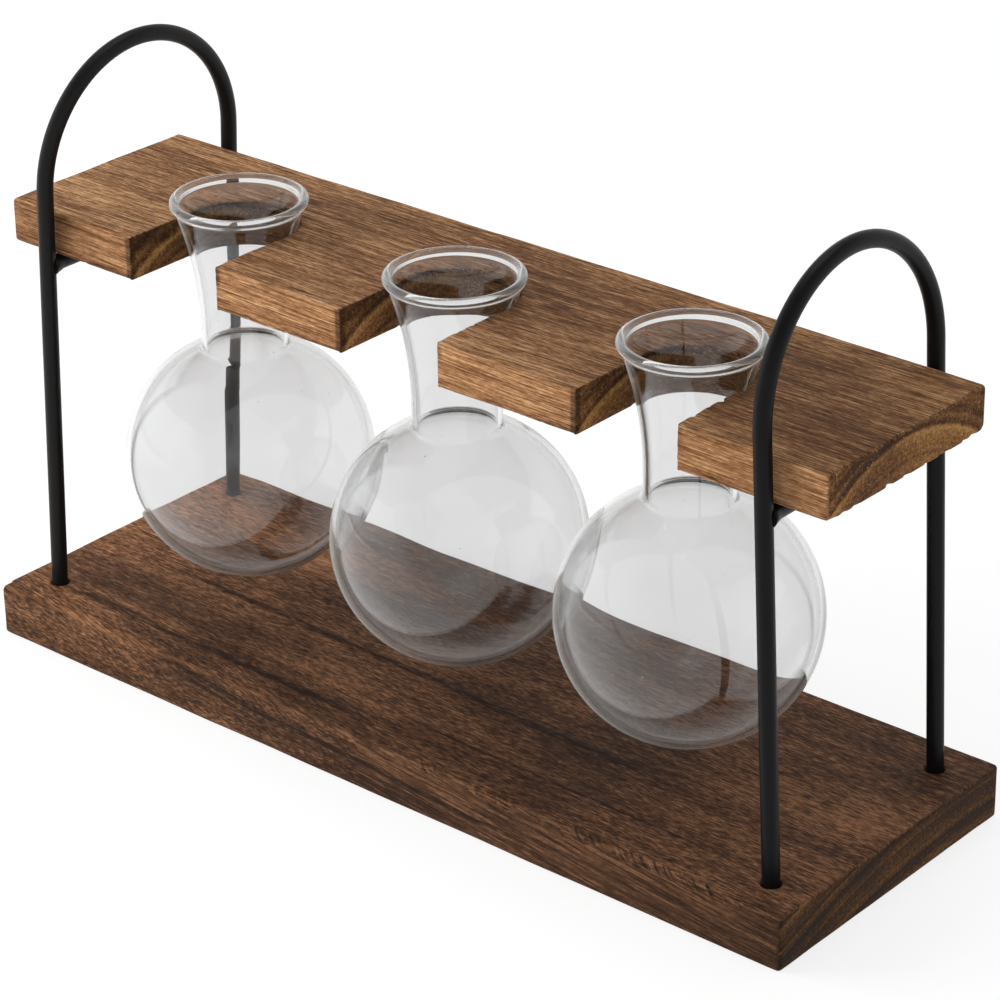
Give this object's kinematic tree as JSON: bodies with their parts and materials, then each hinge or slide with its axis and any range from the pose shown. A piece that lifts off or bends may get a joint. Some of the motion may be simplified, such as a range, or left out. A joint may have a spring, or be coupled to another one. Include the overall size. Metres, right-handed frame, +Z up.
{
  "type": "bulb forcing vase",
  "caption": "Wooden stand with arched steel rods whose slotted shelf holds round glass vases by their flared necks, for forcing flower bulbs in water.",
  "frame": {"origin": "middle of the base's underside", "axes": "+X along the boards to the right, +Y to the back, away from the open slots, +Z up"},
  "size_m": [0.3, 0.1036, 0.1878],
  "materials": {
    "dark_wood": "stained, scorched and brushed, matt oil",
    "brown_wood": "scorched and brushed, matt oil",
    "black_rod": "satin black powder coat",
    "screw_steel": "zinc plated",
    "clear_glass": "clear blown glass"
  },
  "bodies": {
    "stand": {"base_board": "dark_wood", "shelf_board": "brown_wood", "left_arch": "black_rod", "right_arch": "black_rod", "left_crossbar": "black_rod", "right_crossbar": "black_rod", "leg_screws": "screw_steel", "shelf_screws": "screw_steel"},
    "left_vase": {"left_vase": "clear_glass"},
    "centre_vase": {"centre_vase": "clear_glass"},
    "right_vase": {"right_vase": "clear_glass"}
  },
  "joints": [
    {"name": "left_vase_lift", "type": "slide", "parent": "stand", "child": "left_vase", "axis": [0, -0.8944, 0.4472], "range_m": [0, 0.054]},
    {"name": "centre_vase_lift", "type": "slide", "parent": "stand", "child": "centre_vase", "axis": [0, -0.8944, 0.4472], "range_m": [0, 0.054]},
    {"name": "right_vase_lift", "type": "slide", "parent": "stand", "child": "right_vase", "axis": [0, -0.8944, 0.4472], "range_m": [0, 0.054]}
  ]
}
